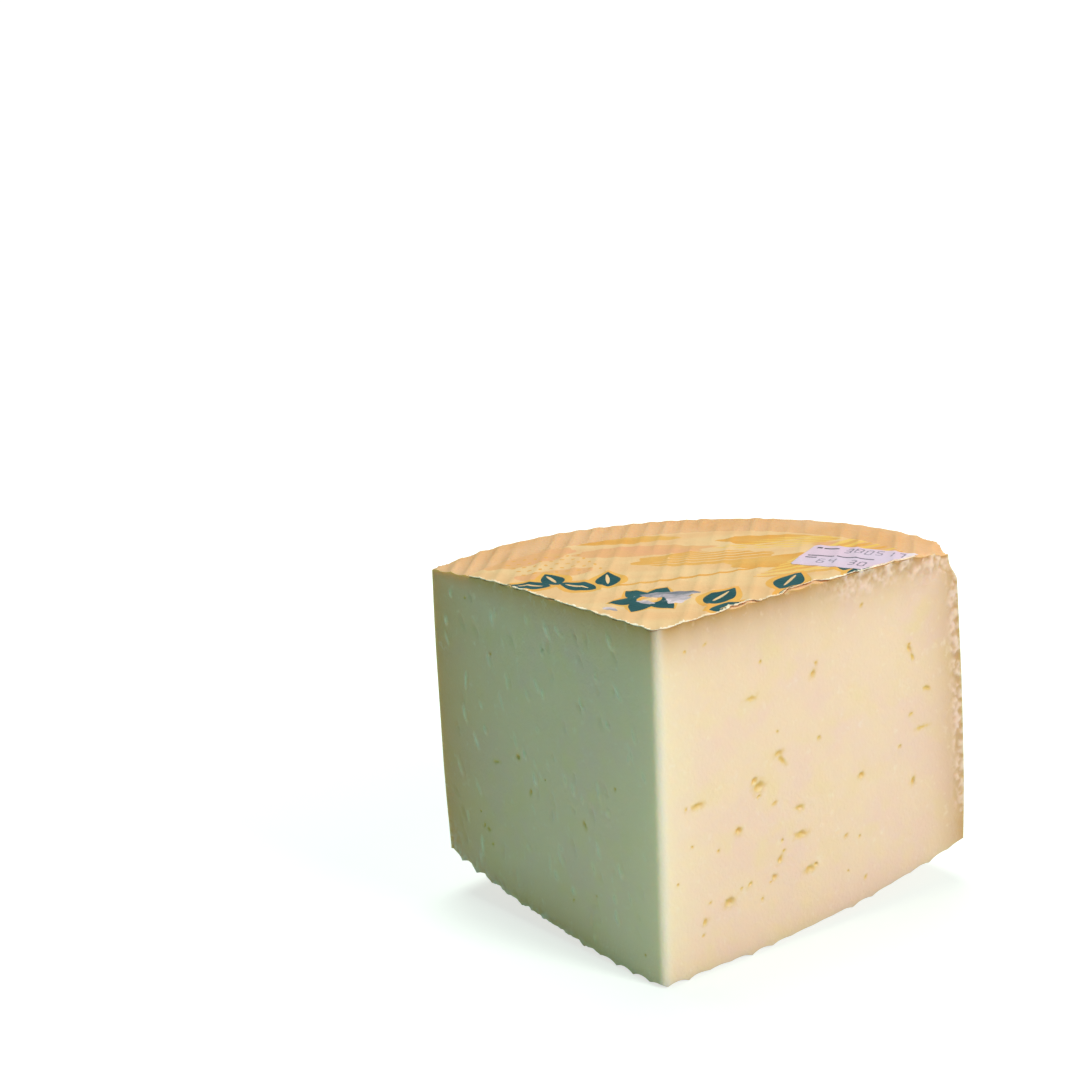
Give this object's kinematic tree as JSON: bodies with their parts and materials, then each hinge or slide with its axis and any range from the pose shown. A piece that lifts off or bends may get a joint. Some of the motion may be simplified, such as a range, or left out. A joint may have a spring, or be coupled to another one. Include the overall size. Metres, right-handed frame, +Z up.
{
  "type": "semi-cured cheese wedge",
  "caption": "Hand-cut wedge, a little over a quarter, of a fluted semi-cured cheese wheel, with its cut paper label and date sticker on top.",
  "frame": {"origin": "middle of the wedge's bounding box at the level of the board it stands on", "axes": "+Z up, +Y from the near edge towards the rim, along the flutes, +X to the right seen from the near edge"},
  "size_m": [0.1504, 0.1074, 0.1004],
  "materials": {
    "cheese": "satin, moist cut paste with an ochre band under the rind",
    "label_paper": "printed paper under clear film, soft gloss",
    "sticker_paper": "matt pale lilac paper"
  },
  "bodies": {
    "root": {"cheese_wedge": "cheese", "top_label": "label_paper", "date_sticker": "sticker_paper"}
  },
  "joints": []
}
